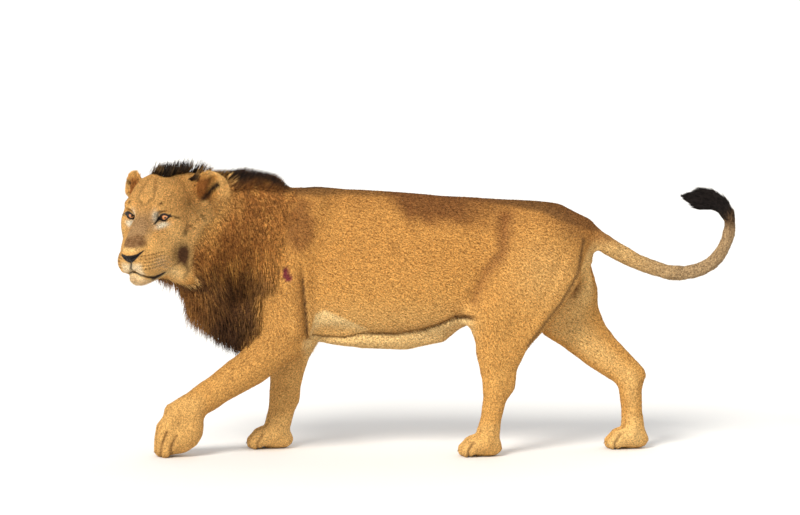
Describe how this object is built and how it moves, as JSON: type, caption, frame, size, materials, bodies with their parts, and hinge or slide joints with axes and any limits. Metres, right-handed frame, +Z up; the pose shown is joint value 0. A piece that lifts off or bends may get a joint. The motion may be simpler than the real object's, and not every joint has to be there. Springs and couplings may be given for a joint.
{
  "type": "lion, adult male, life-size model",
  "caption": "Walking adult male lion with a short sparse mane, belly fold and tufted tail, its head turned to its left.",
  "frame": {"origin": "on the floor, under the middle of the whole animal's bounding box", "axes": "-X is the way the lion walks, -Y is its left side, +Z is up"},
  "size_m": [2.3482, 0.569, 1.1231],
  "materials": {
    "coat": "short dense tawny fur, finely speckled, darker along the back",
    "face_coat": "very short pale gold fur with whitish muzzle and chin",
    "mane": "long coarse hair, reddish brown to black-brown",
    "tail_coat": "short tawny to pale grey fur",
    "tuft": "black coarse hair",
    "eye": "wet glossy orange-brown eye",
    "claw": "dark horn, half gloss",
    "nose_leather": "black moist leathery nose"
  },
  "bodies": {
    "root": {"belly": "coat", "chest": "coat", "claw_fore_left_1": "claw", "claw_fore_left_2": "claw", "claw_fore_left_3": "claw", "claw_fore_left_4": "claw", "claw_fore_right_1": "claw", "claw_fore_right_2": "claw", "claw_fore_right_3": "claw", "claw_fore_right_4": "claw", "claw_hind_left_1": "claw", "claw_hind_left_2": "claw", "claw_hind_left_3": "claw", "claw_hind_left_4": "claw", "claw_hind_right_1": "claw", "claw_hind_right_2": "claw", "claw_hind_right_3": "claw", "claw_hind_right_4": "claw", "ear_left": "face_coat", "ear_right": "face_coat", "eye_left": "eye", "eye_right": "eye", "foot_left": "coat", "foot_right": "coat", "forearm_left": "coat", "forearm_right": "coat", "head": "face_coat", "lower_jaw": "face_coat", "neck": "mane", "nose": "nose_leather", "paw_fore_left": "coat", "paw_fore_right": "coat", "paw_hind_left": "coat", "paw_hind_right": "coat", "rump": "coat", "scrotum": "coat", "shank_left": "coat", "shank_right": "coat", "tail_end": "tail_coat", "tail_middle": "tail_coat", "tail_root": "tail_coat", "tail_tuft": "tuft", "thigh_left": "coat", "thigh_right": "coat", "throat_mane": "mane", "upper_arm_left": "coat", "upper_arm_right": "coat"}
  },
  "joints": []
}
